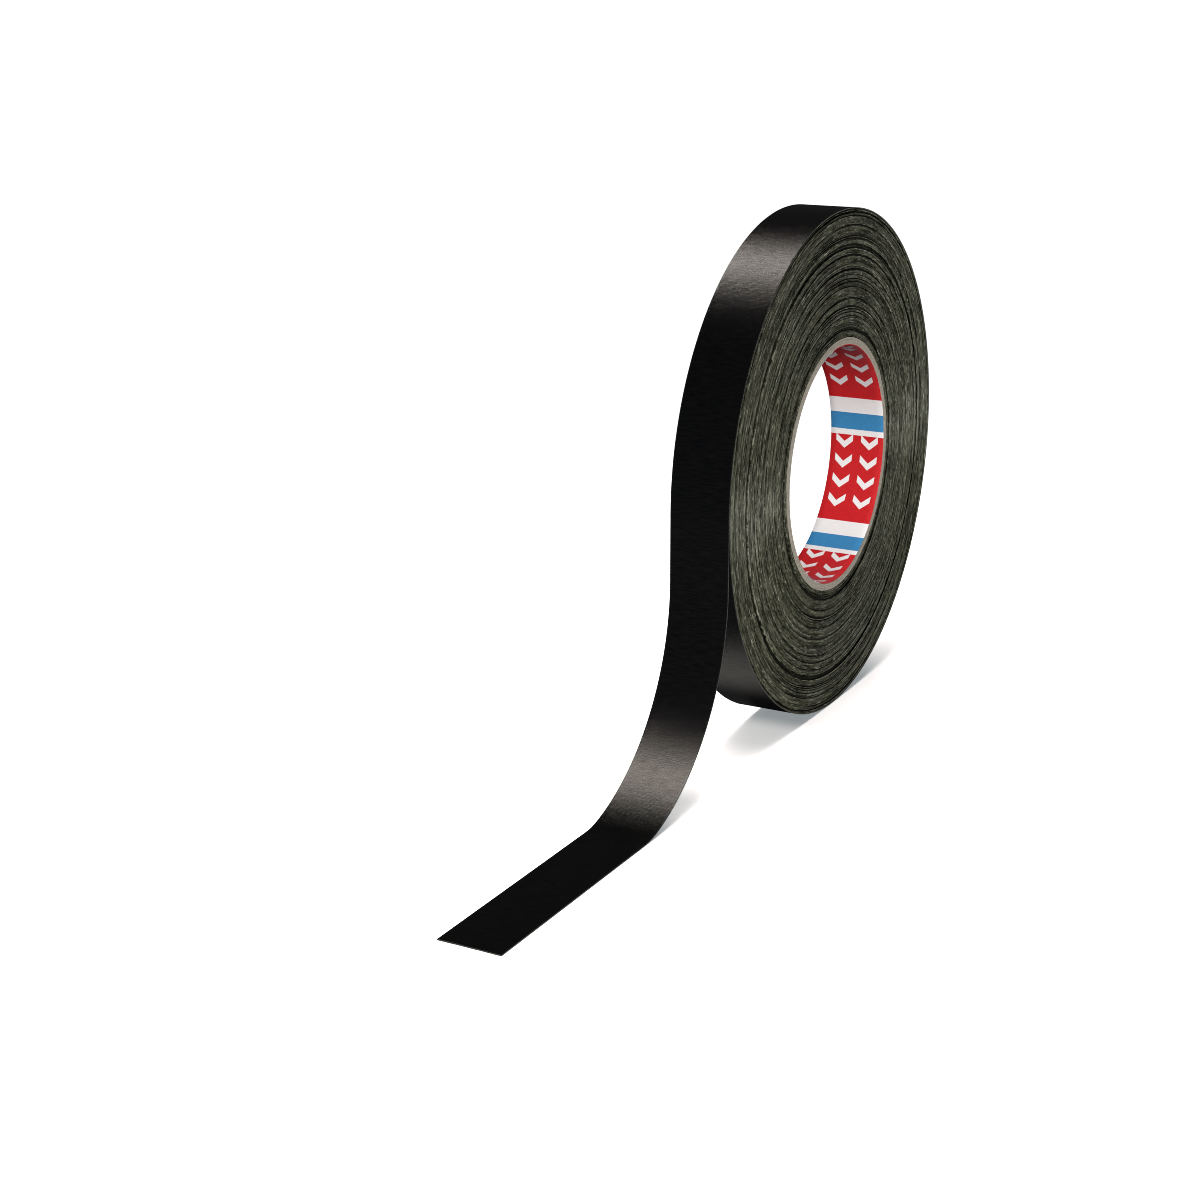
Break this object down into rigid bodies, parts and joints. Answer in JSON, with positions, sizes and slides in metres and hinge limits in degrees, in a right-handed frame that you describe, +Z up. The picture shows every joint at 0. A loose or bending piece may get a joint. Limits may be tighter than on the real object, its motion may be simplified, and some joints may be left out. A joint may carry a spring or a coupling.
{
  "type": "duct tape roll",
  "caption": "Narrow roll of black coated-cloth duct tape on a paperboard core with a printed liner, standing on its tread with a free tail that peels off the roll and lies on the floor.",
  "frame": {"origin": "centre of the core's bore, half way across the tape width", "axes": "+Y along the roll's axis, +Z up with the roll standing on its tread, the free tail runs towards -X"},
  "size_m": [0.2889, 0.019, 0.1612],
  "materials": {
    "black_coating": "satin",
    "cotton_cloth": "matte",
    "adhesive_mass": "satin",
    "wound_edges": "satin",
    "paperboard": "matte",
    "printed_liner": "satin"
  },
  "bodies": {
    "outer_turn": {"outer_turn_coating": "black_coating", "outer_turn_cloth": "cotton_cloth", "outer_turn_adhesive": "adhesive_mass"},
    "wound_roll": {"wound_tape": "wound_edges", "core_outer_ply": "paperboard", "core_middle_ply": "paperboard", "core_inner_ply": "paperboard", "core_liner": "printed_liner"},
    "tail_1": {"tail_1_coating": "black_coating", "tail_1_cloth": "cotton_cloth", "tail_1_adhesive": "adhesive_mass"},
    "tail_2": {"tail_2_coating": "black_coating", "tail_2_cloth": "cotton_cloth", "tail_2_adhesive": "adhesive_mass"},
    "tail_3": {"tail_3_coating": "black_coating", "tail_3_cloth": "cotton_cloth", "tail_3_adhesive": "adhesive_mass"},
    "tail_4": {"tail_4_coating": "black_coating", "tail_4_cloth": "cotton_cloth", "tail_4_adhesive": "adhesive_mass"},
    "tail_5": {"tail_5_coating": "black_coating", "tail_5_cloth": "cotton_cloth", "tail_5_adhesive": "adhesive_mass"}
  },
  "joints": [
    {"name": "roll_spin", "type": "hinge", "parent": "outer_turn", "child": "wound_roll", "pos_m": [0, 0, 0], "axis": [0, 1, 0], "continuous": true},
    {"name": "tail_peel", "type": "hinge", "parent": "outer_turn", "child": "tail_1", "pos_m": [-0.0808, 0, 0], "axis": [0, 1, 0], "range_deg": [0, 45]},
    {"name": "tail_bend_2", "type": "hinge", "parent": "tail_1", "child": "tail_2", "pos_m": [-0.0808, 0, -0.01971], "axis": [0, 1, 0], "range_deg": [0, 32]},
    {"name": "tail_bend_3", "type": "hinge", "parent": "tail_2", "child": "tail_3", "pos_m": [-0.09306, 0, -0.05672], "axis": [0, 1, 0], "range_deg": [0, 32]},
    {"name": "tail_bend_4", "type": "hinge", "parent": "tail_3", "child": "tail_4", "pos_m": [-0.12498, 0, -0.07909], "axis": [0, 1, 0], "range_deg": [0, 35]},
    {"name": "tail_bend_5", "type": "hinge", "parent": "tail_4", "child": "tail_5", "pos_m": [-0.1705, 0, -0.08022], "axis": [0, 1, 0], "range_deg": [0, 35]}
  ]
}
